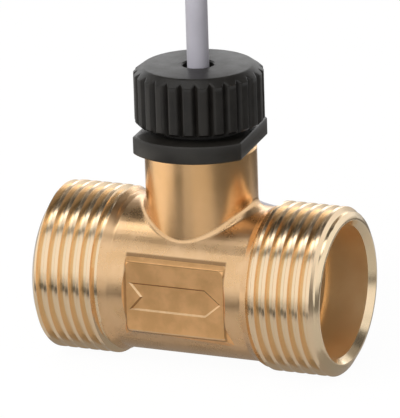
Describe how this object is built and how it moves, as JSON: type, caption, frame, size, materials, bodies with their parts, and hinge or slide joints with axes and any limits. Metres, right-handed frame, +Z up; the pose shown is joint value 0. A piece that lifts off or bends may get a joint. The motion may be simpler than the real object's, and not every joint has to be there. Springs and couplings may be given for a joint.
{
  "type": "water flow sensor",
  "caption": "Brass in-line turbine flow sensor with male pipe threads, a plastic sensor head with ribbed cap nut, and a signal cable.",
  "frame": {"origin": "centre of the inlet's end face, on the pipe axis", "axes": "+X is the flow direction along the pipe, +Z points up the neck, and the side with the arrow faces -Y"},
  "size_m": [0.0812, 0.0747, 0.1058],
  "materials": {
    "brass": "machined, satin",
    "spring_steel": "polished",
    "white_plastic": "moulded",
    "black_rubber": "matte",
    "bearing_plastic": "moulded",
    "rotor_plastic": "moulded",
    "magnet": "sintered",
    "black_plastic": "moulded, satin",
    "cap_plastic": "moulded, fine grain",
    "circuit_board": "solder mask",
    "chip_plastic": "moulded",
    "grey_jacket": "smooth PVC",
    "red_core": "smooth PVC",
    "black_core": "smooth PVC",
    "yellow_core": "smooth PVC",
    "tin": "tinned",
    "strap": "woven"
  },
  "bodies": {
    "sensor": {"tee_body": "brass", "retaining_ring": "spring_steel", "inlet_spider": "white_plastic", "outlet_spider": "white_plastic", "cartridge_sleeve": "white_plastic", "cartridge_seal": "black_rubber", "inlet_bearing": "bearing_plastic", "outlet_bearing": "bearing_plastic", "sensor_housing": "black_plastic", "head_seal": "black_rubber", "sensor_board": "circuit_board", "hall_chip": "chip_plastic", "board_parts": "chip_plastic", "board_leads": "red_core", "cable_grommet": "black_rubber", "slip_washer": "bearing_plastic", "cap_nut": "cap_plastic", "cable": "grey_jacket", "cable_hank": "grey_jacket", "cable_tail": "grey_jacket", "hank_tie": "strap", "core_red": "red_core", "core_black": "black_core", "core_yellow": "yellow_core", "core_ferrules": "tin"},
    "turbine": {"rotor": "rotor_plastic", "rotor_magnets": "magnet", "rotor_shaft": "spring_steel"}
  },
  "joints": [
    {"name": "rotor_spin", "type": "hinge", "parent": "sensor", "child": "turbine", "pos_m": [0.0305, 0, 0], "axis": [1, 0, 0], "continuous": true}
  ]
}
